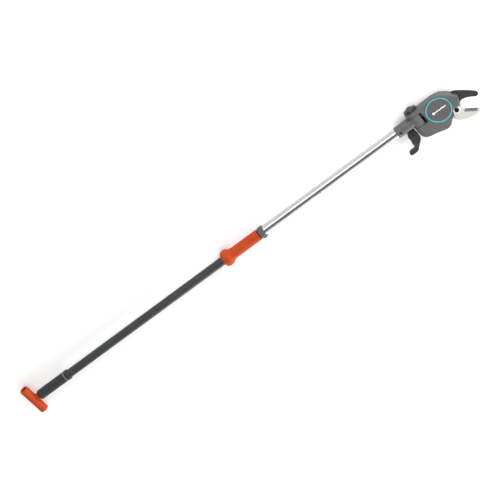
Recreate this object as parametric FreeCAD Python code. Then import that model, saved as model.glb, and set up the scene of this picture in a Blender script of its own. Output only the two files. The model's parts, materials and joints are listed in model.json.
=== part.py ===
import FreeCAD, Part
import math
import os

# Telescoping pole pruner. Working axes: X runs along the pole towards the head with zero on the
# head's tilt hinge, Y is across the pole in the plane of the blades, Z is up, away from the floor.
# Everything is moved by REST once, when the files are written, so that it lies on the floor.

V = FreeCAD.Vector
X, Y, Z = V(1, 0, 0), V(0, 1, 0), V(0, 0, 1)

REST = V(637.12, 24.09, 25.3)

# pole
OUTER_R, OUTER_BORE = 15.1, 13.7
OUTER_FROM, OUTER_TO = -552.5, -28.0
GROOVE_WIDTH, GROOVE_DEPTH, GROOVE_TILT = 4.4, 0.7, 15.0
INNER_R, INNER_BORE = 13.0, 11.4
INNER_FROM, INNER_TO = -1412.0, -336.0
RUN = 0.06
SLOT_FROM, SLOT_TO, SLOT_WIDTH = -1128.0, -600.0, 7.0

# lock collar on the lower end of the outer tube
COLLAR_FROM, COLLAR_TO, COLLAR_R = -562.0, -545.5, 17.5

# pull sleeve and what it drags inside the pole
SLEEVE_FROM, SLEEVE_TO, SLEEVE_R = -697.6, -566.5, 17.0
FLANGE_R, FLANGE_END, CONE_END = 25.3, -675.0, -661.0
CARRIAGE_FROM, CARRIAGE_TO = -642.0, -612.0
CORD_R = 1.5
ROD_R, ROD_Z = 2.0, 6.3

# butt end
BAR_X, BAR_R, BAR_BORE, BAR_HALF = -1438.4, 13.9, 9.0, 47.8
GRIP_FROM, GRIP_TO, GRIP_R = -1416.0, -1311.8, 15.6
RING_WIDTH = 3.0
TAPER_TO = -1295.5

# head socket and tilt hinge
SOCKET_FROM, SOCKET_R = -69.7, 17.1
BARREL_R, BARREL_HALF, BARREL_FRONT = 21.0, 18.2, 13.5
STUD_R = 4.0
ROLLER_R, ROLLER_X, ROLLER_Z = 4.5, -3.9, 6.2
TILT = 45.0

# head casing
HEAD_FRONT, HEAD_BACK, PAD_BACK = 21.0, -21.0, -25.3
WINDOW_HALF, WINDOW_END, LUG_R = 19.1, 22.0, 22.0
DRUM_AT = V(65.0, -8.6, 0)
GEAR_GAP = 54.0
PIVOT_ANGLE = -45.9
RING_R, RING_BAND = 36.2, 4.0

# drive: pinion on the drum, toothed sector on the blade
MODULE, PINION_TEETH, SECTOR_TEETH = 1.5, 9, 63
DRUM_R, DRUM_GROOVE, LIVE_CORD_R = 25.8, 18.9, 23.5
SHEAVE_AT, SHEAVE_R = V(32.0, -6.5, 0), 6.9
HOOK_Z, BLADE_Z = (-1.0, 3.7), (4.0, 7.0)
BRANCH_HOOK_AT = V(-38.0, -34.0, 0)

AXLE_R = 4.0
FIT = 0.05

PIVOT_AT = DRUM_AT + V(
    GEAR_GAP * math.cos(math.radians(PIVOT_ANGLE)),
    GEAR_GAP * math.sin(math.radians(PIVOT_ANGLE)),
    0,
)

os.makedirs("parts", exist_ok=True)


def save(name, shape):
    shape = shape.removeSplitter()
    shape.translate(REST)
    assert shape.isValid(), name
    assert shape.Volume > 0, name
    box = shape.BoundBox
    print(f"{name:20s} solids {len(shape.Solids)} "
          f"x {box.XMin:8.1f} {box.XMax:8.1f} y {box.YMin:7.1f} {box.YMax:7.1f} "
          f"z {box.ZMin:6.1f} {box.ZMax:6.1f}")
    shape.exportStep(f"parts/{name}.step")


def rod(radius, start, axis, length):
    return Part.makeCylinder(radius, length, start, axis)


def pipe(outer, inner, start, axis, length):
    return rod(outer, start, axis, length).cut(rod(inner, start - axis, axis, length + 2))


def block(x0, x1, y0, y1, z0, z1):
    return Part.makeBox(x1 - x0, y1 - y0, z1 - z0, V(x0, y0, z0))


def fuse(shapes):
    return shapes[0].multiFuse(shapes[1:])


def cut(shape, tools):
    return shape.cut(fuse(tools)) if len(tools) > 1 else shape.cut(tools[0])


def largest(shape):
    return max(shape.Solids, key=lambda solid: solid.Volume)


def polygon(points, z0, z1):
    wire = Part.makePolygon([V(x, y, z0) for x, y in points + points[:1]])
    return Part.Face(wire).extrude(V(0, 0, z1 - z0))


def smooth(points, z):
    curve = Part.BSplineCurve()
    curve.interpolate([V(x, y, z) for x, y in points], PeriodicFlag=True)
    return Part.Wire([curve.toShape()])


def around(shape, at, axis, angle):
    turned = shape.copy()
    turned.rotate(at, axis, angle)
    return turned


def revolve_along_x(profile):
    wire = Part.makePolygon([V(x, 0, r) for x, r in profile + profile[:1]])
    return Part.Face(wire).revolve(V(0, 0, 0), X, 360)


def polar(centre, radius, angle, z=0.0):
    a = math.radians(angle)
    return V(centre.x + radius * math.cos(a), centre.y + radius * math.sin(a), z)


def edges_where(shape, test):
    return [e for e in shape.Edges if test(e)]


def at_x(x):
    return lambda e: abs(e.BoundBox.XMin - x) < 0.01 and abs(e.BoundBox.XMax - x) < 0.01


def socket_screw_head(radius, height, key, start, axis):
    head = rod(radius, start, axis, height)
    prism = Part.Face(Part.makePolygon([
        start + axis * (height * 0.4) + side * key for side in hexagon(axis)
    ])).extrude(axis * height)
    return head.cut(prism)


def hexagon(axis):
    first = Y if abs(axis.x) > 0.5 or abs(axis.z) > 0.5 else X
    second = axis.cross(first)
    turns = [math.radians(60 * i) for i in range(7)]
    return [first * math.cos(t) + second * math.sin(t) for t in turns]


# ---------------------------------------------------------------- outer pole

groove = block(OUTER_FROM - 1, OUTER_TO + 1, -GROOVE_WIDTH / 2, GROOVE_WIDTH / 2,
               OUTER_R - GROOVE_DEPTH, OUTER_R + 2)
groove.rotate(V(0, 0, 0), X, -GROOVE_TILT)
outer_tube = pipe(OUTER_R, OUTER_BORE, V(OUTER_FROM, 0, 0), X, OUTER_TO - OUTER_FROM)
save("outer_tube", outer_tube.cut(groove))

collet = revolve_along_x([
    (COLLAR_FROM + 0.5, INNER_R + RUN), (COLLAR_FROM + 0.5, COLLAR_R - 1.5),
    (COLLAR_TO - 1.0, COLLAR_R - 1.5), (COLLAR_TO - 1.0, OUTER_R),
    (OUTER_FROM, OUTER_R), (OUTER_FROM, INNER_R + RUN),
])
save("collet", collet)

lock_ring = pipe(COLLAR_R, COLLAR_R - 1.5 + FIT, V(COLLAR_FROM, 0, 0), X, COLLAR_TO - COLLAR_FROM)
lock_ring = lock_ring.makeChamfer(0.6, edges_where(
    lock_ring, lambda e: abs(e.BoundBox.ZMax - COLLAR_R) < 0.01 and e.BoundBox.XLength < 0.01))
thumb = block(COLLAR_FROM + 1.5, COLLAR_FROM + 11.5, -20.2, -COLLAR_R + 1.2, -5.5, 5.5)
thumb = thumb.makeFillet(2.2, edges_where(thumb, lambda e: e.BoundBox.YMax < -20.1))
thumb = thumb.cut(rod(COLLAR_R - 1.4, V(-570, 0, 0), X, 40))
ribs = [
    around(block(COLLAR_FROM + 2, COLLAR_TO - 2, -0.5, 0.5, COLLAR_R - 0.4, COLLAR_R + 0.5),
           V(0, 0, 0), X, 15 * i)
    for i in range(24) if i not in (5, 6, 7)
]
save("lock_ring", fuse([lock_ring, thumb] + ribs))

# ---------------------------------------------------------------- socket with the hinge barrel

socket = rod(SOCKET_R, V(SOCKET_FROM, 0, 0), X, 45.0)
socket = socket.makeFillet(1.2, edges_where(socket, at_x(SOCKET_FROM)))
neck = Part.makeLoft([
    Part.Wire([Part.Circle(V(-32, 0, 0), X, SOCKET_R).toShape()]),
    Part.Wire([Part.Circle(V(-14, 0, 0), X, 15.8).toShape()]),
], True)
barrel = rod(BARREL_R, V(0, -BARREL_HALF, 0), Y, 2 * BARREL_HALF)
barrel = barrel.cut(block(BARREL_FRONT, 40, -30, 30, -40, 40))
ear = rod(11.5, BRANCH_HOOK_AT + V(0, 0, -12), Z, 6.7)
arm = block(-49.5, -26.5, -34, -12, -12, -5.3)
socket = fuse([socket, neck, barrel, ear, arm])
wedge = polygon([
    (-2, 0), (30 * math.cos(math.radians(TILT + 4)), 30 * math.sin(math.radians(TILT + 4))),
    (40, 20), (40, -20),
    (30 * math.cos(math.radians(TILT + 4)), -30 * math.sin(math.radians(TILT + 4))),
], -3.2, 3.2)
wedge.rotate(V(0, 0, 0), X, 90)
screw_x = -58.0
socket = cut(socket, [
    rod(OUTER_R, V(-80, 0, 0), X, 80 + OUTER_TO),
    rod(3.4, V(-40, 0, 0), X, 40),
    block(-9.2, 1.5, -5.0, 5.0, -11.4, 11.4),
    wedge,
    rod(STUD_R, V(0, 8.6, 0), Y, 30),
    rod(STUD_R, V(0, -38.6, 0), Y, 30),
    rod(1.5, V(ROLLER_X, -8, ROLLER_Z), Y, 16),
    rod(1.5, V(ROLLER_X, -8, -ROLLER_Z), Y, 16),
    rod(3.0, BRANCH_HOOK_AT + V(0, 0, -13), Z, 20),
    rod(5.2, BRANCH_HOOK_AT + V(0, 0, -13), Z, 4.5),
    rod(4.3, V(screw_x, 0, OUTER_R), Z, 10),
    rod(4.3, V(screw_x, 0, -OUTER_R), -Z, 10),
])
save("head_socket", socket)

screws = []
for axis in (Z, -Z):
    head = socket_screw_head(4.2, 2.0, 1.5, axis * OUTER_R + V(screw_x, 0, 0) + axis * 0.0, axis)
    screws.append(head.cut(rod(OUTER_R, V(-80, 0, 0), X, 40)))
save("socket_screws", Part.makeCompound(screws))

stud = fuse([
    rod(STUD_R, V(0, 8.6, 0), Y, 34.8),
    rod(STUD_R - 1.0, V(0, 43.4, 0), Y, 0.9),
])
save("knob_stud", stud)
pivot_pin = rod(STUD_R, V(0, -38.6, 0), Y, 30.0)
save("pivot_pin", pivot_pin.makeChamfer(
    0.6, edges_where(pivot_pin, lambda e: e.BoundBox.YMax < -38.5)))

rollers, pins = [], []
for side in (1, -1):
    at = V(ROLLER_X, 0, side * ROLLER_Z)
    roller = revolve_along_x([(-4.5, 1.55), (-4.5, 4.9), (-3.0, 4.9), (-1.9, 4.5), (1.9, 4.5),
                              (3.0, 4.9), (4.5, 4.9), (4.5, 1.55)])
    roller.rotate(V(0, 0, 0), Z, 90)
    roller.translate(at)
    rollers.append(roller)
    pins.append(rod(1.5, at - Y * 8, Y, 16))
save("guide_rollers", Part.makeCompound(rollers))
save("roller_pins", Part.makeCompound(pins))
save("cord_link", rod(CORD_R, V(-33.0, 0, 0), X, 33.5))

# ---------------------------------------------------------------- branch hook beside the socket

hook_points = [
    (-55.0, -65.0), (-54.4, -52.0), (-52.6, -41.0), (-52.6, -30.0), (-47.0, -22.4), (-38.0, -20.2),
    (-28.6, -23.2), (-24.6, -32.0), (-24.4, -45.0), (-26.4, -55.0), (-38.5, -67.5), (-47.5, -76.6),
    (-56.5, -83.6), (-68.0, -84.4), (-77.5, -83.4), (-80.0, -78.0), (-75.5, -70.6), (-65.0, -69.6),
]
branch_hook = Part.Face(smooth(hook_points, -5.0)).extrude(V(0, 0, 10))
boss_ring = rod(10.0, BRANCH_HOOK_AT + V(0, 0, 5), Z, 2.0)
branch_hook = branch_hook.makeChamfer(1.0, edges_where(
    branch_hook, lambda e: e.BoundBox.ZLength < 0.01))
branch_hook = branch_hook.fuse(boss_ring)
branch_hook = cut(branch_hook, [
    rod(3.0 + FIT, BRANCH_HOOK_AT + V(0, 0, -8), Z, 20),
    rod(6.6, BRANCH_HOOK_AT + V(0, 0, 5.6), Z, 4),
])
save("branch_hook", branch_hook)
screw = fuse([
    rod(3.0, BRANCH_HOOK_AT + V(0, 0, -11.4), Z, 17.4),
    socket_screw_head(5.4, 3.0, 2.3, BRANCH_HOOK_AT + V(0, 0, 5.9), Z),
])
save("branch_hook_screw", screw)
nut = Part.Face(Part.makePolygon([
    BRANCH_HOOK_AT + V(0, 0, -11.9) + side * 4.9 for side in hexagon(Z)
])).extrude(V(0, 0, 3.2))
save("branch_hook_nut", nut.cut(rod(3.0, BRANCH_HOOK_AT + V(0, 0, -20), Z, 30)))

# ---------------------------------------------------------------- inner pole

inner_tube = pipe(INNER_R, INNER_BORE, V(INNER_FROM, 0, 0), X, INNER_TO - INNER_FROM)
slot = fuse([
    block(SLOT_FROM, SLOT_TO, -SLOT_WIDTH / 2, SLOT_WIDTH / 2, -20, -6),
    rod(SLOT_WIDTH / 2, V(SLOT_FROM, 0, -20), Z, 14),
    rod(SLOT_WIDTH / 2, V(SLOT_TO, 0, -20), Z, 14),
])
save("inner_tube", inner_tube.cut(slot))
save("slide_bush", pipe(OUTER_BORE - RUN, INNER_R, V(INNER_TO - 60, 0, 0), X, 60))

grip_length = GRIP_TO - GRIP_FROM
grip = rod(GRIP_R, V(GRIP_FROM, 0, 0), X, grip_length)
grip = grip.makeFillet(5.0, edges_where(grip, at_x(GRIP_FROM)))
finger_grooves = []
for i in range(6):
    ring = Part.makeTorus(GRIP_R + 1.9, 2.5, V(GRIP_FROM + 18 + 13 * i, 0, 0), X)
    finger_grooves.append(ring)
grip = cut(grip, [rod(INNER_R, V(INNER_FROM, 0, 0), X, 200), rod(11.1, V(-1430, 0, 0), X, 60)]
           + finger_grooves)
save("butt_grip", grip)
save("grip_ring", pipe(GRIP_R + 0.3, INNER_R, V(GRIP_TO, 0, 0), X, RING_WIDTH))
taper_from = GRIP_TO + RING_WIDTH
save("grip_collar", revolve_along_x([
    (taper_from, INNER_R), (taper_from, GRIP_R + 0.6), (TAPER_TO - 4.5, GRIP_R + 0.6),
    (TAPER_TO, INNER_R + 0.7), (TAPER_TO, INNER_R),
]))
save("butt_bush", cut(rod(INNER_BORE, V(-1402, 0, 0), X, 16), [
    rod(ROD_R + RUN, V(-1410, 0, ROD_Z), X, 40),
    rod(3.5, V(-1410, 0, -3.5), X, 40),
]))

# ---------------------------------------------------------------- pull sleeve and carriage

profile = [
    (SLEEVE_FROM, 14.5), (SLEEVE_FROM, 19.0), (SLEEVE_FROM + 2.2, 22.8), (SLEEVE_FROM + 5.5, 24.6),
    (SLEEVE_FROM + 9.5, FLANGE_R), (FLANGE_END - 7.0, FLANGE_R), (FLANGE_END - 2.2, 24.6),
    (FLANGE_END, 23.2), (FLANGE_END + 4.2, 20.2), (FLANGE_END + 9.0, 18.1), (CONE_END + 3.0, SLEEVE_R),
    (SLEEVE_TO - 1.0, SLEEVE_R), (SLEEVE_TO, SLEEVE_R - 1.0), (SLEEVE_TO, 14.5),
]
sleeve = revolve_along_x(profile)
screw_places = (-635.0, -619.0)
sleeve = cut(sleeve, [rod(2.0, V(x, 0, -30), Z, 20) for x in screw_places]
             + [rod(3.7, V(x, 0, -20), Z, 4.4) for x in screw_places])
save("pull_sleeve", sleeve)
save("sleeve_bushes", Part.makeCompound([
    pipe(14.5, INNER_R + RUN, V(SLEEVE_FROM + 1, 0, 0), X, 22),
    pipe(14.5, INNER_R + RUN, V(SLEEVE_TO - 23, 0, 0), X, 22),
]))
carriage = cut(rod(INNER_BORE - RUN, V(CARRIAGE_FROM, 0, 0), X, CARRIAGE_TO - CARRIAGE_FROM), [
    rod(ROD_R + RUN, V(CARRIAGE_FROM - 1, 0, ROD_Z), X, 40),
    rod(CORD_R, V(CARRIAGE_FROM - 1, 0, 0), X, 40),
    rod(3.0, V(CARRIAGE_FROM - 1, 0, 0), X, 9),
    block(CARRIAGE_FROM + 1, CARRIAGE_TO - 1, -3.2, 3.2, -13, -6.5),
])
save("carriage", carriage)
key = block(CARRIAGE_FROM + 1, CARRIAGE_TO - 1, -3.2, 3.2, -14.1, -6.5)
key = key.common(rod(14.5, V(-700, 0, 0), X, 150))
save("carriage_key", cut(key, [rod(1.6, V(x, 0, -20), Z, 11.5) for x in screw_places]))
heads = []
for x in screw_places:
    head = socket_screw_head(3.5, 1.4, 1.4, V(x, 0, -15.6), -Z)
    heads.append(fuse([head, rod(1.6, V(x, 0, -15.6), Z, 7.0)]))
save("carriage_screws", Part.makeCompound(heads))
knot = Part.makeSphere(2.6, V(CARRIAGE_FROM + 4.6, 0, 0))
save("pull_cord", fuse([rod(CORD_R, V(CARRIAGE_FROM + 4, 0, 0), X, -38.0 - CARRIAGE_FROM), knot]))

# ---------------------------------------------------------------- T-handle and its rod

bar = rod(BAR_R, V(BAR_X, -BAR_HALF, 0), Y, 2 * BAR_HALF)
bar = bar.makeFillet(2.6, edges_where(bar, lambda e: e.BoundBox.YLength < 0.01))
bar = fuse([bar, rod(10.9, V(BAR_X, 0, 0), X, BAR_X * -1 - 1406.0)])
bar = cut(bar, [
    rod(BAR_BORE + 0.1, V(BAR_X, -60, 0), Y, 120),
    rod(ROD_R, V(-1424, 0, ROD_Z), X, 40),
])
save("t_handle", bar)
save("t_rod", rod(ROD_R, V(-1424, 0, ROD_Z), X, 1424 + CARRIAGE_TO + 9.0))
head = revolve_along_x([(CARRIAGE_TO + 0.6, 2.0), (CARRIAGE_TO + 0.6, 3.6), (CARRIAGE_TO + 6, 3.6),
                        (CARRIAGE_TO + 8, 2.6), (CARRIAGE_TO + 8, 2.0)])
head.translate(V(0, 0, ROD_Z))
save("rod_head", head)

# ---------------------------------------------------------------- counter blade and cutting blade

hook_outer = [
    (100.0, 10.0), (112.0, 8.5), (120.0, 5.6), (129.0, 2.6), (137.2, -3.2), (150.2, -13.8),
    (163.0, -25.2), (173.4, -35.6), (177.2, -40.8), (178.0, -45.6), (175.4, -50.2), (170.2, -51.6),
    (160.2, -46.4), (148.0, -38.4), (138.4, -34.2), (129.2, -33.0), (122.4, -35.8), (117.8, -41.2),
    (116.1, -46.0),
]
hub = rod(13.4, PIVOT_AT + Z * HOOK_Z[0], Z, HOOK_Z[1] - HOOK_Z[0])
hook_inner = [(113.0, -56.0), (95.5, -44.0), (97.0, -24.0), (98.5, -6.0)]
curve = Part.BSplineCurve()
curve.interpolate([V(x, y, HOOK_Z[0]) for x, y in hook_outer[2:]])
edges = [curve.toShape(), Part.makePolygon([
    V(x, y, HOOK_Z[0]) for x, y in [hook_outer[-1]] + hook_inner[1:] + hook_outer[:3]
])]
counter = Part.Face(Part.Wire([edges[0]] + edges[1].Edges)).extrude(V(0, 0, HOOK_Z[1] - HOOK_Z[0]))
counter = counter.fuse(hub)
counter_screw_at = [V(105.5, 1.5, 0), V(115.0, -16.5, 0)]
counter = cut(counter, [rod(3.5, PIVOT_AT - Z * 10, Z, 30)]
              + [rod(2.1, at - Z * 10, Z, 30) for at in counter_screw_at])
save("counter_blade", counter)

blade_back = [
    (92.0, -59.5), (80.6, -64.6), (86.0, -73.6), (96.0, -82.6), (108.5, -89.4), (122.5, -93.6),
    (138.0, -95.8), (148.0, -95.4), (154.6, -92.2),
]
blade_edge = [
    (154.6, -92.2), (155.4, -87.4), (151.6, -82.2), (145.0, -77.0), (133.0, -68.2), (121.4, -59.6),
    (116.6, -55.0),
]
back_curve = Part.BSplineCurve()
back_curve.interpolate([V(x, y, BLADE_Z[0]) for x, y in blade_back[1:]])
edge_curve = Part.BSplineCurve()
edge_curve.interpolate([V(x, y, BLADE_Z[0]) for x, y in blade_edge])
neck_line = Part.makePolygon([
    V(x, y, BLADE_Z[0]) for x, y in [blade_edge[-1], (104.0, -40.0), (92.0, -46.0)] + blade_back[:2]
])
blade_depth = BLADE_Z[1] - BLADE_Z[0]
blade = Part.Face(Part.Wire([back_curve.toShape(), edge_curve.toShape()] + neck_line.Edges))
blade = blade.extrude(V(0, 0, blade_depth))
blade = blade.fuse(rod(12.6, PIVOT_AT + Z * BLADE_Z[0], Z, blade_depth))
grind = block(0, 90, 0, 12, -3, 0)
grind.rotate(V(0, 0, 0), X, -14)
grind.rotate(V(0, 0, 0), Z, -36.5)
grind.translate(V(110.0, -56.5, BLADE_Z[1] + 1.0))
fan_from, fan_to = 72.0, 138.0
tooth_pitch = 360.0 / SECTOR_TEETH
root_r = MODULE * (SECTOR_TEETH / 2 - 1.15)
tip_r = MODULE * (SECTOR_TEETH / 2 + 0.85)
plate_r = root_r - 9.0
tail = [PIVOT_AT + V(-9.0, 5.5, 0), PIVOT_AT + V(9.8, 2.0, 0)]
tail_points = [(tail[0].x, tail[0].y), (tail[1].x, tail[1].y)]
for i in range(8):
    p = polar(PIVOT_AT, plate_r + 3.0, fan_from + 4 + (fan_to - fan_from - 8) * i / 7)
    tail_points.append((p.x, p.y))
tail_plate = polygon(tail_points, *BLADE_Z)
window = polygon([
    (polar(PIVOT_AT, r, a).x, polar(PIVOT_AT, r, a).y)
    for r, a in ((19, 80), (30, 76), (33, 90), (34, 103), (33, 116), (30, 130), (19, 124), (17, 102))
], BLADE_Z[0] - 1, BLADE_Z[1] + 1)
blade = blade.fuse(tail_plate).cut(window)
rivet_at = [polar(PIVOT_AT, plate_r - 0.6, a) for a in (78.0, 104.5, 131.0)]
seat = rod(plate_r + 3.2, PIVOT_AT + Z * (BLADE_Z[0] - 1), Z, 10).cut(
    rod(plate_r - 4.0, PIVOT_AT + Z * (BLADE_Z[0] - 2), Z, 12))
lower_half = seat.common(block(0, 200, -100, 100, BLADE_Z[0] - 1, BLADE_Z[0] + 1.5))
fan = polygon([(PIVOT_AT.x, PIVOT_AT.y)] + [
    (polar(PIVOT_AT, 80, fan_from + (fan_to - fan_from) * i / 4).x,
     polar(PIVOT_AT, 80, fan_from + (fan_to - fan_from) * i / 4).y) for i in range(5)
], BLADE_Z[0], BLADE_Z[1])
blade = blade.cut(lower_half.common(fan))
blade = cut(blade, [grind, rod(3.5 + FIT, PIVOT_AT - Z * 10, Z, 30)]
            + [rod(1.6, at - Z * 10, Z, 30) for at in rivet_at])
save("cutting_blade", largest(blade))

teeth = []
for i in range(13):
    a = 134.1 - tooth_pitch * (i - 0.5)
    outline = []
    for r, half in ((root_r - 0.6, 2.05), (root_r + 0.5, 1.75), (MODULE * SECTOR_TEETH / 2, 1.28),
                    (tip_r - 0.3, 0.72), (tip_r, 0.5)):
        outline.append((r, half / 47.25 * 57.3 * 0.88))
    points = [polar(PIVOT_AT, r, a + h) for r, h in outline]
    points += [polar(PIVOT_AT, r, a - h) for r, h in reversed(outline)]
    if fan_from < a < fan_to:
        teeth.append(polygon([(p.x, p.y) for p in points], *BLADE_Z))
annulus = rod(root_r, PIVOT_AT + Z * BLADE_Z[0], Z, blade_depth).cut(fuse([
    rod(plate_r - 4.0, PIVOT_AT + Z * (BLADE_Z[0] - 1), Z, 2.5),
    rod(plate_r + 3.2, PIVOT_AT + Z * (BLADE_Z[0] + 1.5), Z, 8),
]))
sector = fuse([annulus.common(fan)] + teeth)
sector = cut(sector, [rod(1.6, at - Z * 10, Z, 30) for at in rivet_at])
save("sector_gear", sector)
save("sector_rivets", Part.makeCompound([
    rod(1.6, at + Z * BLADE_Z[0], Z, blade_depth) for at in rivet_at
]))
save("hub_washer", pipe(12.0, 3.5 + FIT, PIVOT_AT + Z * BLADE_Z[1], Z, 1.4))
bolt_head = socket_screw_head(6.6, 3.8, 3.0, PIVOT_AT + Z * (BLADE_Z[1] + 1.5), Z)
save("pivot_bolt", fuse([bolt_head, rod(3.5, PIVOT_AT + Z * -8.5, Z, 17.0)]))
nut = Part.Face(Part.makePolygon([
    PIVOT_AT + V(0, 0, -6.2) + side * 6.6 for side in hexagon(Z)
])).extrude(V(0, 0, 5.2))
save("pivot_nut", nut.cut(rod(3.5, PIVOT_AT - Z * 20, Z, 30)))

# ---------------------------------------------------------------- drum, pinion and cord

drum = rod(DRUM_R, DRUM_AT - Z * 6, Z, 9)
drum = drum.cut(pipe(DRUM_R + 2, DRUM_GROOVE, DRUM_AT - Z * 2, Z, 4.0))
pockets = [rod(3.8, polar(DRUM_AT, 13.0, 60 * i, -7), Z, 12) for i in range(6)]
save("cord_drum", cut(drum, [rod(AXLE_R + FIT, DRUM_AT - Z * 10, Z, 30)] + pockets))
pinion_teeth = []
for i in range(PINION_TEETH):
    a = PIVOT_ANGLE + 360.0 / PINION_TEETH * i
    points = []
    for r, half in ((4.9, 1.35), (5.6, 1.25), (6.75, 0.98), (7.6, 0.55), (7.9, 0.35)):
        points.append((r * math.cos(half / r), r * math.sin(half / r)))
    tooth = polygon(points + [(x, -y) for x, y in reversed(points)], 3.0, 8.0)
    tooth.rotate(V(0, 0, 0), Z, a)
    tooth.translate(DRUM_AT)
    pinion_teeth.append(tooth)
pinion = fuse([pipe(5.2, AXLE_R + FIT, DRUM_AT + Z * 3, Z, 5.6)] + pinion_teeth)
save("drum_pinion", pinion.cut(rod(AXLE_R + FIT, DRUM_AT, Z, 20)))
winding = Part.makeTorus(DRUM_GROOVE + CORD_R, CORD_R - 0.02, DRUM_AT, Z)
save("cord_winding", winding)
axle = fuse([rod(AXLE_R, DRUM_AT - Z * 17.5, Z, 35.0), pipe(6.5, AXLE_R, DRUM_AT - Z * 8, Z, 1.8)])
save("drum_axle", axle)
coil = Part.makeHelix(2.6, 7.2, 6.4)
section = Part.Wire([Part.Circle(V(6.4, 0, 0), Y, 0.8).toShape()])
spring = Part.Wire(coil).makePipeShell([section], True, True)
spring.translate(DRUM_AT + Z * 9.6)
save("return_spring", spring)

drum_cord_r = LIVE_CORD_R
sheave_cord_r = 6.5
gap = DRUM_AT - SHEAVE_AT
lean = math.degrees(math.asin((drum_cord_r + sheave_cord_r) / gap.Length))
heading = math.degrees(math.atan2(gap.y, gap.x)) - lean
leave = polar(SHEAVE_AT, sheave_cord_r, heading + 90)
arrive = polar(DRUM_AT, drum_cord_r + 0.15, heading - 90)
top = polar(SHEAVE_AT, sheave_cord_r, 90)
middle = polar(SHEAVE_AT, sheave_cord_r, (heading + 180) / 2)
short = arrive + (leave - arrive) * 0.06
path = Part.Wire([
    Part.makeLine(V(3.5, 0, 0), top),
    Part.Arc(top, middle, leave).toShape(),
    Part.makeLine(leave, short),
])
section = Part.Wire([Part.Circle(V(3.5, 0, 0), X, CORD_R - 0.1).toShape()])
save("cord_head", path.makePipeShell([section], True, True))
sheave = cut(rod(SHEAVE_R, SHEAVE_AT - Z * 3, Z, 6), [
    Part.makeTorus(sheave_cord_r + 0.1, CORD_R + 0.05, SHEAVE_AT, Z),
    rod(2.5 + FIT, SHEAVE_AT - Z * 5, Z, 10),
])
save("guide_sheave", sheave)
save("sheave_pin", rod(2.5, SHEAVE_AT - Z * 16.5, Z, 33.0))

# ---------------------------------------------------------------- head casing

outline = [
    (-24.0, 29.4), (0.0, 29.6), (24.0, 30.4), (60.0, 31.6), (78.0, 30.4), (92.5, 26.2), (104.5, 19.0),
    (116.6, 8.4), (125.4, -2.4), (129.8, -9.4), (129.6, -15.6), (125.4, -23.0), (119.6, -30.6),
    (113.6, -38.4), (108.0, -49.0), (99.4, -50.6), (91.0, -53.4), (82.6, -57.2), (74.0, -63.6),
    (65.2, -71.4), (57.0, -74.4), (45.4, -73.6), (31.6, -69.6), (17.8, -65.6), (3.9, -62.4),
    (-7.0, -58.6), (-15.6, -52.0), (-21.0, -43.0), (-24.0, -30.0), (-25.0, 0.0),
]


def scaled(points, factor, inset=0.0):
    cx, cy = 52.0, -20.0
    result = []
    for x, y in points:
        reach = math.hypot(x - cx, y - cy)
        k = factor * (reach - inset) / reach
        result.append((cx + (x - cx) * k, cy + (y - cy) * k))
    return result


def loft(levels):
    return Part.makeLoft([smooth(scaled(outline, k, inset), z) for z, k, inset in levels], True)


front_block = loft([(0.0, 1.0, 0.0), (17.6, 1.0, 0.6)]).fuse(
    loft([(17.6, 1.0, 0.6), (19.6, 1.0, 1.3), (HEAD_FRONT, 1.0, 3.4)]))
back_block = loft([(0.0, 1.0, 0.0), (-6.0, 1.0, 1.2), (-12.0, 1.0, 4.2), (-17.0, 1.0, 8.6),
                   (HEAD_BACK, 1.0, 15.0)])
profile_x = fuse([
    rod(LUG_R, V(0, -90, 0), Y, 140),
    block(0, 150, -90, 50, HEAD_BACK, HEAD_FRONT),
])
cavity = loft([(-1.0, 1.0, 3.2), (17.8, 1.0, 3.6)]).fuse(
    loft([(-13.0, 1.0, 11.0), (-1.0, 1.0, 6.0)]))
cavity = cavity.common(block(24.8, 150, -90, 50, -30, 30))
sweep = fuse([
    rod(14.2, PIVOT_AT - Z * 40, Z, 80),
    rod(27.0, PIVOT_AT + Z * 3.8, Z, 3.5),
])
common_cuts = [
    rod(22.0, V(0, -WINDOW_HALF, 0), Y, 2 * WINDOW_HALF),
    block(-40, 0, -WINDOW_HALF, WINDOW_HALF, -40, 40),
    block(0, WINDOW_END, -WINDOW_HALF, WINDOW_HALF, -40, 40),
    rod(STUD_R + FIT, V(0, 0, 0), Y, 60),
    rod(STUD_R + FIT, V(0, -39.0, 0), Y, 39),
    rod(3.2, V(15, 0, 0), X, 20),
    sweep,
]
bosses = [
    (6.8, DRUM_AT), (4.6, SHEAVE_AT), (5.2, V(50.0, -63.0, 0)), (5.2, V(30.5, 21.0, 0)),
    (5.2, V(92.0, 16.6, 0)), (5.2, V(30.5, -58.0, 0)),
]
screw_at = [at for r, at in bosses[2:]]
front_bosses = fuse([
    rod(bosses[0][0], DRUM_AT + Z * 18, Z, 1), rod(bosses[1][0], SHEAVE_AT + Z * 3.6, Z, 15),
] + [rod(r, at, Z, 18) for r, at in bosses[2:]])
back_bosses = fuse([
    rod(bosses[0][0], DRUM_AT - Z * 15, Z, 6.6), rod(bosses[1][0], SHEAVE_AT - Z * 15, Z, 11.4),
] + [rod(r, at - Z * 15, Z, 15) for r, at in bosses[2:]]
  + [rod(5.0, at - Z * 14, Z, 13) for at in counter_screw_at])
disc_seat = rod(RING_R + RING_BAND / 2, DRUM_AT + Z * 19.6, Z, 5)

front = front_block.common(profile_x).cut(cavity).fuse(front_bosses.common(front_block))
front = cut(front, common_cuts + [
    disc_seat,
    counter,
    rod(AXLE_R, DRUM_AT, Z, 17.5),
    rod(2.5, SHEAVE_AT, Z, 16.5),
] + [rod(1.75, at - Z * 1, Z, 13.5) for at in screw_at])
save("front_cover", largest(front))

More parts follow.
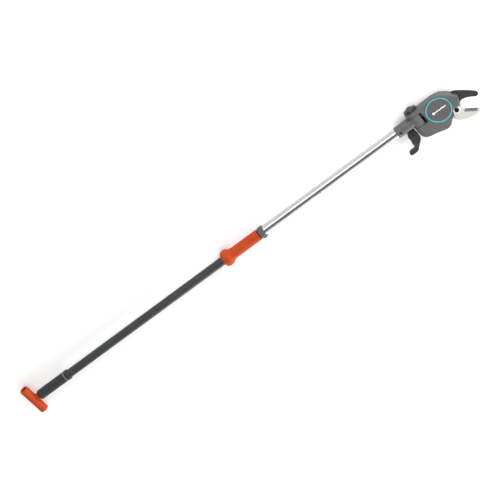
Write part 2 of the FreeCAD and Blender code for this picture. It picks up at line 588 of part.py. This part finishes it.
pad = rod(30.0, DRUM_AT + Z * PAD_BACK, Z, 14.0)
pad = pad.makeFillet(2.0, edges_where(pad, lambda e: e.BoundBox.ZMax < PAD_BACK + 0.01))
back = back_block.common(profile_x).fuse(pad).cut(cavity).fuse(back_bosses)
back = cut(back, common_cuts + [
    counter,
    rod(24.0, DRUM_AT + Z * (PAD_BACK - 1), Z, 2.0),
    rod(AXLE_R, DRUM_AT - Z * 17.5, Z, 18),
    rod(2.5, SHEAVE_AT - Z * 16.5, Z, 18),
] + [rod(1.75, at - Z * 40, Z, 41) for at in screw_at]
  + [rod(3.6, at - Z * 40, Z, 31) for at in screw_at]
  + [rod(2.1, at - Z * 40, Z, 41) for at in counter_screw_at]
  + [rod(4.0, at - Z * 40, Z, 30) for at in counter_screw_at])
save("back_cover", largest(back))

cover_screws = []
for at in screw_at:
    head = socket_screw_head(3.3, 2.2, 1.5, at - Z * 9.0, -Z)
    cover_screws.append(fuse([head, rod(1.75, at - Z * 9.0, Z, 20.0)]))
save("cover_screws", Part.makeCompound(cover_screws))

hook_screws = []
for at in counter_screw_at:
    head = socket_screw_head(3.7, 2.0, 1.5, at - Z * 10.0, -Z)
    hook_screws.append(fuse([head, rod(2.1, at - Z * 10.0, Z, 13.6)]))
save("hook_screws", Part.makeCompound(hook_screws))

ring = pipe(RING_R + RING_BAND / 2, RING_R - RING_BAND / 2, DRUM_AT + Z * 19.6, Z, 2.8)
ring = ring.makeFillet(1.1, edges_where(ring, lambda e: e.BoundBox.ZMin > 22.3))
save("accent_ring", ring)
disc = rod(RING_R - RING_BAND / 2, DRUM_AT + Z * 19.6, Z, 1.8)
save("ring_disc", disc)

stem = block(-16.0, 24.0, -1.2, 1.2, 21.4, 21.9)
stem = stem.makeFillet(1.0, edges_where(stem, lambda e: e.BoundBox.ZLength > 0.4 and
                                        e.BoundBox.XMin > 23.9))
knot = rod(3.8, V(-17.4, 0, 21.4), Z, 0.5)
twigs = []
for x, side in ((-6.0, 1), (1.0, -1), (8.0, 1), (15.0, -1)):
    leaf = rod(2.2, V(0, 1.3, 21.4), Z, 0.5).common(rod(2.2, V(0, -1.3, 21.4), Z, 0.5))
    leaf.rotate(V(0, 0, 0), Z, 40 * side)
    leaf.translate(V(x + 1.0, 1.8 * side, 0))
    twigs.append(leaf)
mark = fuse([stem, knot] + twigs)
mark.translate(DRUM_AT)
save("twig_mark", mark)

# ---------------------------------------------------------------- wing knob on the tilt hinge

knob = rod(8.6, V(0, 30.2, 0), Y, 11.2)
wing_points = [
    (-19.5, 33.4), (-19.0, 37.0), (-16.0, 39.8), (-8.0, 41.0), (8.0, 41.0), (16.0, 39.8), (19.0, 37.0),
    (19.5, 33.4), (17.0, 31.0), (8.0, 30.5), (-8.0, 30.5), (-17.0, 31.0),
]
wings = polygon(wing_points, -4.6, 4.6)
wings = wings.makeChamfer(1.0, edges_where(wings, lambda e: e.BoundBox.ZLength < 0.01))
flutes = [rod(0.8, V(x, 30, z), Y, 12) for x in (-17, -14, -11, 11, 14, 17) for z in (5.0, -5.0)]
knob = cut(fuse([knob, wings]), flutes + [
    rod(STUD_R + FIT, V(0, 20, 0), Y, 30),
    rod(6.4, V(0, 38.6, 0), Y, 5),
])
save("tilt_knob", knob)
save("knob_nut", pipe(6.4, STUD_R + FIT, V(0, 38.6, 0), Y, 3.2))
save("knob_washer", pipe(8.0, STUD_R + FIT, V(0, 29.85, 0), Y, 0.3))
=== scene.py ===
import json
import math

import bpy
from mathutils import Matrix, Vector


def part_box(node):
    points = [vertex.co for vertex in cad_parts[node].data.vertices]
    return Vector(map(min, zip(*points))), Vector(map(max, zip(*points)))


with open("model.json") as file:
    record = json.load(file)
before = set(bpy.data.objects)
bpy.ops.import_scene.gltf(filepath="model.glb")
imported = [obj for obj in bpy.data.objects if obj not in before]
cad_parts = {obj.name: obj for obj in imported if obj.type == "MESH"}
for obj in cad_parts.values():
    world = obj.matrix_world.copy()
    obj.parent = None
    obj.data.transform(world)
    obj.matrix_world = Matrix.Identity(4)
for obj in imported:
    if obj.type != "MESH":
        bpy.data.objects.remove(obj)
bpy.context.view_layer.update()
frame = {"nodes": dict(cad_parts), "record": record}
nodes = frame["nodes"]

MM = 0.001

# The tilt hinge: on the pole's axis, where the knob's stud crosses it.
tube_low, tube_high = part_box("outer_tube")
stud_low, stud_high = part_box("knob_stud")
HINGE = Vector((stud_low.x + stud_high.x, tube_low.y + tube_high.y, tube_low.z + tube_high.z)) / 2
TUBE_R = (tube_high.y - tube_low.y) / 2
grip_low, grip_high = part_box("butt_grip")
GRIP_R = (grip_high.y - grip_low.y) / 2

# The blade's darker land: how far in from the cutting edge, and how far along it from the heel.
EDGE_HEEL = HINGE + Vector((121.4, -59.6, 0)) * MM
EDGE_TIP = HINGE + Vector((151.6, -82.2, 0)) * MM
LAND_FROM, LAND_TO = -1.0 * MM, 9.8 * MM
LAND_START, LAND_END = 2.5 * MM, 37.0 * MM
LAND_SLANT = 0.35

# Shading is smooth over edges that are blunter than this.
SHARP_ANGLE = math.radians(32)

# The camera's place and lens. It looks down at the pole, which runs up the picture from left to right.
CAMERA_SIDEWAYS, CAMERA_TIP, CAMERA_ROLL = (math.radians(a) for a in (15.0, 26.5, 36.2))
AIM_DOWN_THE_POLE, AIM_BELOW_THE_POLE = 0.616, 0.0213
CAMERA_DISTANCE = 4.8
LENS_MM = 119.2


# ------------------------------------------------------------------ node helpers

def new_material(name):
    """A new material, its node tree and its shader."""
    mat = bpy.data.materials.new(name)
    mat.use_nodes = True
    tree = mat.node_tree
    return mat, tree, tree.nodes["Principled BSDF"]


def feed(tree, socket, value):
    """Links value to the socket if it is another node's output, and sets it there if it is a constant."""
    if isinstance(value, bpy.types.NodeSocket):
        tree.links.new(value, socket)
    else:
        socket.default_value = value


def calc(tree, operation, *values):
    node = tree.nodes.new("ShaderNodeMath")
    node.operation = operation
    for socket, value in zip(node.inputs, values):
        feed(tree, socket, value)
    return node.outputs["Value"]


def vector_calc(tree, operation, *values, output="Vector"):
    node = tree.nodes.new("ShaderNodeVectorMath")
    node.operation = operation
    for socket, value in zip(node.inputs, values):
        feed(tree, socket, value)
    return node.outputs[output]


def position(tree):
    """The place on the piece, in metres."""
    return tree.nodes.new("ShaderNodeTexCoord").outputs["Object"]


def noise(tree, scale, stretch=(1, 1, 1), detail=4.0, rough=0.55):
    """Noise of this many cells per metre, times stretch along each axis."""
    tex = tree.nodes.new("ShaderNodeTexNoise")
    tex.inputs["Scale"].default_value = scale
    tex.inputs["Detail"].default_value = detail
    tex.inputs["Roughness"].default_value = rough
    tree.links.new(vector_calc(tree, "MULTIPLY", position(tree), stretch), tex.inputs["Vector"])
    return tex.outputs["Fac"]


def remap(tree, value, low, high, start=0.3, end=0.7):
    node = tree.nodes.new("ShaderNodeMapRange")
    for name, number in (("From Min", start), ("From Max", end), ("To Min", low), ("To Max", high)):
        node.inputs[name].default_value = number
    tree.links.new(value, node.inputs["Value"])
    return node.outputs["Result"]


def mix(tree, factor, a, b):
    node = tree.nodes.new("ShaderNodeMix")
    node.data_type = "RGBA"
    for name, value in (("A", a), ("B", b)):
        linked = isinstance(value, bpy.types.NodeSocket)
        feed(tree, node.inputs[name], value if linked else (*value, 1))
    tree.links.new(factor, node.inputs["Factor"])
    return node.outputs["Result"]


def shade(color, factor, lift=0.0):
    """The colour made lighter or darker."""
    return tuple(min(1.0, c * factor + lift) for c in color)


def rounded_normal(tree, radius):
    bevel = tree.nodes.new("ShaderNodeBevel")
    bevel.samples = 4
    bevel.inputs["Radius"].default_value = radius
    return bevel.outputs["Normal"]


def edge_mask(tree, radius):
    """1 on outer and inner edges, 0 on open faces."""
    geometry = tree.nodes.new("ShaderNodeNewGeometry")
    agree = vector_calc(tree, "DOT_PRODUCT", rounded_normal(tree, radius), geometry.outputs["Normal"],
                        output="Value")
    return remap(tree, agree, 1.0, 0.0, 0.75, 0.99)


def painted_crevice_shade(tree, distance):
    """Painted shade: 0 far into gaps and corners, to 1 in the open."""
    node = tree.nodes.new("ShaderNodeAmbientOcclusion")
    node.samples = 6
    node.inputs["Distance"].default_value = distance
    return remap(tree, node.outputs["AO"], 0.0, 1.0, 0.25, 0.85)


def relief(tree, shader, *layers, rounding=0.4 * MM):
    """Rounded edges, then one bump per (height, strength, distance)."""
    normal = rounded_normal(tree, rounding)
    for height, strength, distance in layers:
        node = tree.nodes.new("ShaderNodeBump")
        node.inputs["Strength"].default_value = strength
        node.inputs["Distance"].default_value = distance
        tree.links.new(height, node.inputs["Height"])
        tree.links.new(normal, node.inputs["Normal"])
        normal = node.outputs["Normal"]
    tree.links.new(normal, shader.inputs["Normal"])


def from_pole_axis(tree):
    """The vector from the pole's axis, which runs along x, to the place on the piece."""
    return vector_calc(tree, "MULTIPLY_ADD", position(tree), (0, 1, 1), (0, -HINGE.y, -HINGE.z))


def distance_along(tree, start, direction):
    """How far the place on the piece is from start, measured along direction."""
    reach = vector_calc(tree, "DOT_PRODUCT", position(tree), tuple(direction), output="Value")
    return calc(tree, "SUBTRACT", reach, start.dot(direction))


def inside(tree, value, low, high, soft):
    """1 while value is between low and high, with edges this soft."""
    rising = remap(tree, value, 0.0, 1.0, low - soft, low + soft)
    falling = remap(tree, value, 1.0, 0.0, high - soft, high + soft)
    return calc(tree, "MULTIPLY", rising, falling)


def diamonds(tree, pitch, radius):
    """A raised diamond pattern wrapped round the pole, -1 to 1."""
    ring = tree.nodes.new("ShaderNodeSeparateXYZ")
    tree.links.new(from_pole_axis(tree), ring.inputs["Vector"])
    around = calc(tree, "MULTIPLY", calc(tree, "ARCTAN2", ring.outputs["Z"], ring.outputs["Y"]), radius)
    place = tree.nodes.new("ShaderNodeSeparateXYZ")
    tree.links.new(position(tree), place.inputs["Vector"])
    waves = []
    for sign in (1.0, -1.0):
        lean = calc(tree, "MULTIPLY_ADD", place.outputs["X"], sign, around)
        waves.append(calc(tree, "SINE", calc(tree, "MULTIPLY", lean, math.pi / pitch)))
    return calc(tree, "MULTIPLY", *waves)


# ------------------------------------------------------------------ materials

def plastic(name, color, rough, grain=0.4 * MM, depth=0.04 * MM, edge_wear_and_highlight=0.12, specular=0.5,
            rounding=0.4 * MM, pattern=None):
    """Moulded plastic or paint: fine grain, slow colour drift, a few scuffs and paler edges from handling,
    with painted shade in gaps and corners. Set high, the pale edges are painted highlights.
    """
    mat, tree, shader = new_material(name)
    drift = noise(tree, 38.0, detail=3.0)
    body = mix(tree, remap(tree, drift, 0.0, 1.0), shade(color, 0.88), shade(color, 1.08, 0.004))
    scuffs = noise(tree, 60.0, stretch=(0.35, 2.2, 2.2), detail=6.0, rough=0.75)
    scuff = remap(tree, scuffs, 0.0, 0.35, 0.62, 0.74)
    scuffed_and_shaded = mix(tree, scuff, body, shade(color, 1.12, 0.010))
    # Painted shade: the colour darkens to a quarter of itself in gaps and corners.
    scuffed_and_shaded = mix(tree, painted_crevice_shade(tree, 14 * MM), shade(color, 0.25), scuffed_and_shaded)
    speck = noise(tree, 900.0, detail=2.0)
    # Paler edges from handling, and on the branch hook, set high, a painted highlight along its boss rings.
    edge_rub_and_highlight = calc(tree, "MULTIPLY", edge_mask(tree, 0.9 * MM), remap(tree, speck, 0.15, 0.9, 0.35, 0.6))
    rubbed_and_highlit = shade(color, 1 + edge_wear_and_highlight * 2.5, edge_wear_and_highlight * 0.10)
    tree.links.new(mix(tree, edge_rub_and_highlight, scuffed_and_shaded, rubbed_and_highlit), shader.inputs["Base Color"])
    gloss = remap(tree, drift, rough - 0.05, rough + 0.07)
    tree.links.new(calc(tree, "MULTIPLY_ADD", scuff, 0.25, gloss), shader.inputs["Roughness"])
    shader.inputs["Specular IOR Level"].default_value = specular
    layers = [
        (noise(tree, 1 / grain, detail=2.0), 0.35, depth),
        (noise(tree, 24.0, detail=1.0), 0.12, 0.5 * MM),
    ]
    if pattern:
        pitch, radius, strength = pattern
        layers.append((diamonds(tree, pitch, radius), strength, 0.25 * MM))
    relief(tree, shader, *layers, rounding=rounding)
    return mat


def metal(name, color, rough, brush=(3, 160, 160), scale=9.0, metallic=1.0):
    """Bare or anodised metal with drawn or ground lines and clouded gloss."""
    mat, tree, shader = new_material(name)
    lines = noise(tree, scale, stretch=brush, detail=6.0, rough=0.7)
    cloud = noise(tree, 30.0, detail=3.0)
    body = mix(tree, remap(tree, lines, 0.0, 1.0), shade(color, 0.92), shade(color, 1.08))
    tree.links.new(body, shader.inputs["Base Color"])
    shader.inputs["Metallic"].default_value = metallic
    gloss = calc(tree, "ADD", remap(tree, lines, rough - 0.04, rough + 0.06), remap(tree, cloud, -0.03, 0.05))
    tree.links.new(gloss, shader.inputs["Roughness"])
    relief(tree, shader, (lines, 0.25, 0.02 * MM), rounding=0.25 * MM)
    return mat


def grooved_tube(name, color, rough):
    """Drawn anodised tube: lengthwise die lines, and painted shade, a near-black floor, in the groove that
    keys the sections.
    """
    mat, tree, shader = new_material(name)
    lines = noise(tree, 9.0, stretch=(0.6, 130, 130), detail=5.0, rough=0.65)
    cloud = noise(tree, 22.0, stretch=(0.4, 1, 1), detail=3.0)
    body = mix(tree, remap(tree, lines, 0.0, 1.0), shade(color, 0.90), shade(color, 1.05))
    radius = vector_calc(tree, "LENGTH", from_pole_axis(tree), output="Value")
    groove_shade = remap(tree, radius, 1.0, 0.0, TUBE_R - 0.45 * MM, TUBE_R - 0.15 * MM)
    # Painted shade: the groove's floor turns near-black and loses its metal.
    tree.links.new(mix(tree, groove_shade, body, (0.022, 0.023, 0.025)), shader.inputs["Base Color"])
    tree.links.new(calc(tree, "MULTIPLY_ADD", groove_shade, -0.9, 0.94), shader.inputs["Metallic"])
    gloss = calc(tree, "ADD", remap(tree, lines, rough - 0.04, rough + 0.07), remap(tree, cloud, -0.03, 0.05))
    tree.links.new(calc(tree, "MULTIPLY_ADD", groove_shade, 0.25, gloss), shader.inputs["Roughness"])
    relief(tree, shader, (lines, 0.3, 0.02 * MM), rounding=0.25 * MM)
    return mat


def blade_steel(name, color, rough):
    """Ground blade: grinding lines, and a darker, duller land behind the cutting edge."""
    mat, tree, shader = new_material(name)
    edge = (EDGE_TIP - EDGE_HEEL).normalized()
    inward = Vector((edge.y, -edge.x, 0))
    lines = noise(tree, 14.0, stretch=(70, 14, 3), detail=6.0, rough=0.7)
    cloud = noise(tree, 45.0, detail=4.0)
    body = mix(tree, remap(tree, lines, 0.0, 1.0), shade(color, 0.95), shade(color, 1.05))
    depth = distance_along(tree, EDGE_HEEL, inward)
    run = distance_along(tree, EDGE_HEEL, (edge + inward * LAND_SLANT).normalized())
    land = calc(tree, "MULTIPLY", inside(tree, depth, LAND_FROM, LAND_TO, 0.25 * MM),
                inside(tree, run, LAND_START, LAND_END, 0.25 * MM))
    dark_land = mix(tree, remap(tree, cloud, 0.0, 1.0), (0.12, 0.122, 0.125), (0.16, 0.163, 0.166))
    tree.links.new(mix(tree, land, body, dark_land), shader.inputs["Base Color"])
    tree.links.new(calc(tree, "MULTIPLY_ADD", land, -0.2, 0.4), shader.inputs["Metallic"])
    gloss = calc(tree, "ADD", remap(tree, lines, rough - 0.05, rough + 0.06), remap(tree, cloud, -0.04, 0.06))
    tree.links.new(calc(tree, "MULTIPLY_ADD", land, 0.22, gloss), shader.inputs["Roughness"])
    relief(tree, shader, (lines, 0.3, 0.02 * MM), (land, 0.4, 0.12 * MM), rounding=0.3 * MM)
    return mat


def ring_plastic(name, color, rim_shade, rough):
    """Teal ring: its own teal along the crown, and painted shade, a darker teal, on its rims where it meets
    the casing.
    """
    mat, tree, shader = new_material(name)
    low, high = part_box("accent_ring")
    radius = vector_calc(tree, "MULTIPLY_ADD", position(tree), (1, 1, 0),
                         (-(low.x + high.x) / 2, -(low.y + high.y) / 2, 0))
    radius = vector_calc(tree, "LENGTH", radius, output="Value")
    outer = (high.x - low.x) / 2
    crown = inside(tree, radius, outer - 3.4 * MM, outer - 0.6 * MM, 0.4 * MM)
    drift = noise(tree, 60.0, detail=3.0)
    bright = mix(tree, remap(tree, drift, 0.0, 1.0), shade(color, 0.94), shade(color, 1.06))
    # Painted shade: outside the crown the rims take the darker teal.
    tree.links.new(mix(tree, crown, rim_shade, bright), shader.inputs["Base Color"])
    tree.links.new(remap(tree, drift, rough - 0.04, rough + 0.06), shader.inputs["Roughness"])
    shader.inputs["Coat Weight"].default_value = 0.4
    shader.inputs["Coat Roughness"].default_value = 0.15
    relief(tree, shader, (noise(tree, 2500.0, detail=2.0), 0.3, 0.02 * MM), rounding=0.6 * MM)
    return mat


def braid(name, color):
    """Cord: two crossed sets of strands."""
    mat, tree, shader = new_material(name)
    waves = []
    for direction in ("DIAGONAL", "X"):
        wave = tree.nodes.new("ShaderNodeTexWave")
        wave.bands_direction = direction
        wave.inputs["Scale"].default_value = 420.0
        wave.inputs["Distortion"].default_value = 0.6
        tree.links.new(position(tree), wave.inputs["Vector"])
        waves.append(wave.outputs["Fac"])
    strands = calc(tree, "MULTIPLY", *waves)
    tree.links.new(mix(tree, strands, shade(color, 0.6), color), shader.inputs["Base Color"])
    tree.links.new(remap(tree, strands, 0.85, 0.7), shader.inputs["Roughness"])
    relief(tree, shader, (strands, 0.6, 0.3 * MM), rounding=0.2 * MM)
    return mat


# One finish per material slot.
looks = {
    "silver_aluminium": grooved_tube("silver_aluminium", (0.54, 0.55, 0.57), 0.25),
    "dark_tube": plastic("dark_tube", (0.017, 0.020, 0.022), 0.34, grain=0.5 * MM, depth=0.02 * MM,
                        specular=0.45),
    "grey_casting": plastic("grey_casting", (0.080, 0.079, 0.079), 0.42, depth=0.06 * MM,
                            rounding=0.9 * MM),
    "disc_grey": plastic("disc_grey", (0.072, 0.064, 0.068), 0.46, depth=0.08 * MM),
    "dark_plastic": plastic("dark_plastic", (0.019, 0.019, 0.020), 0.44, depth=0.06 * MM, specular=0.35,
                            rounding=0.7 * MM),
    "orange_plastic": plastic("orange_plastic", (0.43, 0.044, 0.002), 0.48, depth=0.03 * MM, edge_wear_and_highlight=0.05,
                              specular=0.2, rounding=0.8 * MM),
    # The second colour is the painted shade on the ring's rims.
    "teal_plastic": ring_plastic("teal_plastic", (0.035, 0.41, 0.45), (0.006, 0.085, 0.095), 0.26),
    "white_print": plastic("white_print", (0.78, 0.79, 0.79), 0.35, depth=0.02 * MM, edge_wear_and_highlight=0.02),
    "pale_ring": plastic("pale_ring", (0.22, 0.23, 0.235), 0.33, depth=0.02 * MM, edge_wear_and_highlight=0.03),
    "steel": metal("steel", (0.72, 0.72, 0.70), 0.27, brush=(60, 60, 6), scale=12.0),
    "black_steel": plastic("black_steel", (0.015, 0.015, 0.016), 0.42, grain=0.7 * MM, depth=0.03 * MM,
                           edge_wear_and_highlight=0.25, specular=0.35, rounding=0.7 * MM),
    "cord": braid("cord", (0.74, 0.74, 0.68)),
}

# Pieces whose finish differs from the rest of their slot.
special = {
    "cutting_blade": blade_steel("blade_steel", (0.56, 0.56, 0.545), 0.30),
    "butt_grip": plastic("grip_rubber", (0.017, 0.017, 0.018), 0.56, depth=0.08 * MM, edge_wear_and_highlight=0.08, specular=0.4,
                         pattern=(2.4 * MM, GRIP_R, 0.35)),
    "tilt_knob": plastic("knob_grey", (0.070, 0.070, 0.071), 0.42, depth=0.06 * MM, rounding=0.8 * MM),
    # The hook's pale edges are painted highlights along its boss rings.
    "branch_hook": plastic("hook_black", (0.021, 0.021, 0.022), 0.32, depth=0.05 * MM, edge_wear_and_highlight=0.9, specular=0.4,
                           rounding=0.7 * MM),
    "pivot_bolt": plastic("bolt_black", (0.006, 0.006, 0.007), 0.24, grain=0.8 * MM, depth=0.01 * MM,
                          edge_wear_and_highlight=0.3, specular=0.3),
    "knob_stud": metal("stud_dark", (0.13, 0.13, 0.135), 0.38, metallic=0.8),
    "knob_nut": metal("nut_dark", (0.10, 0.10, 0.105), 0.38, metallic=0.8),
    "socket_screws": plastic("screw_black", (0.006, 0.006, 0.007), 0.40, edge_wear_and_highlight=0.2),
    "hub_washer": metal("hub_washer", (0.84, 0.84, 0.82), 0.34, brush=(30, 30, 6), scale=12.0, metallic=0.35),
}

slot_of = {part["node"]: part["material_slot"] for part in frame["record"]["subparts"]}
for name, obj in nodes.items():
    obj.data.materials.clear()
    obj.data.materials.append(special.get(name, looks[slot_of[name]]))
    obj.data.shade_smooth()
    obj.data.set_sharp_from_angle(angle=SHARP_ANGLE)


# ------------------------------------------------------------------ stage, light and camera

def area(name, at, target, size, power):
    lamp = bpy.data.lights.new(name, "AREA")
    lamp.shape = "RECTANGLE"
    lamp.size, lamp.size_y = size
    lamp.energy = power
    obj = bpy.data.objects.new(name, lamp)
    obj.location = at
    obj.rotation_euler = (Vector(target) - Vector(at)).to_track_quat("-Z", "Y").to_euler()
    bpy.context.scene.collection.objects.link(obj)


bpy.context.scene.view_settings.view_transform = "Standard"

bpy.ops.mesh.primitive_plane_add(size=40, location=(0, 0, 0))
floor = bpy.context.object
floor.name = "studio_floor"
floor_mat, tree, shader = new_material("studio_white")
paper = mix(tree, remap(tree, noise(tree, 1.5), 0.0, 1.0), (0.95, 0.95, 0.95), (0.97, 0.97, 0.97))
tree.links.new(paper, shader.inputs["Base Color"])
shader.inputs["Roughness"].default_value = 0.95
shader.inputs["Specular IOR Level"].default_value = 0.2
floor.data.materials.append(floor_mat)

world = bpy.data.worlds.new("studio")
bpy.context.scene.world = world
world.use_nodes = True
world.node_tree.nodes["Background"].inputs["Color"].default_value = (1, 1, 1, 1)
world.node_tree.nodes["Background"].inputs["Strength"].default_value = 0.52

area("overhead", (0, 0.2, 3.6), (0, 0, 0), (4.6, 3.4), 36)
area("far_box", (0.3, 2.9, 2.1), (0.1, 0, 0), (4.2, 1.2), 54)
area("near_box", (0.7, -2.6, 1.2), (0.1, 0, 0), (4.6, 0.9), 96)
area("head_box", (2.9, 1.1, 1.3), (0.5, 0, 0), (1.8, 1.2), 62)

sideways, tip = CAMERA_SIDEWAYS, CAMERA_TIP
towards = Vector((math.sin(sideways), math.cos(sideways) * math.sin(tip), math.cos(sideways) * math.cos(tip)))
along = Vector((math.cos(sideways), -math.sin(sideways) * math.sin(tip), -math.sin(sideways) * math.cos(tip)))
across = Vector((0, math.cos(tip), -math.sin(tip)))
right = along * math.cos(CAMERA_ROLL) - across * math.sin(CAMERA_ROLL)
up = along * math.sin(CAMERA_ROLL) + across * math.cos(CAMERA_ROLL)
aim = HINGE + Vector((-AIM_DOWN_THE_POLE, 0, 0)) - across * AIM_BELOW_THE_POLE
view = bpy.data.cameras.new("view")
view.sensor_width = 36.0
view.lens = LENS_MM
view.dof.use_dof = False
view.clip_end = 50.0
camera = bpy.data.objects.new("view", view)
turn = Matrix((right, up, towards)).transposed()
camera.matrix_world = Matrix.Translation(aim + towards * CAMERA_DISTANCE) @ turn.to_4x4()
bpy.context.scene.collection.objects.link(camera)
bpy.context.scene.camera = camera
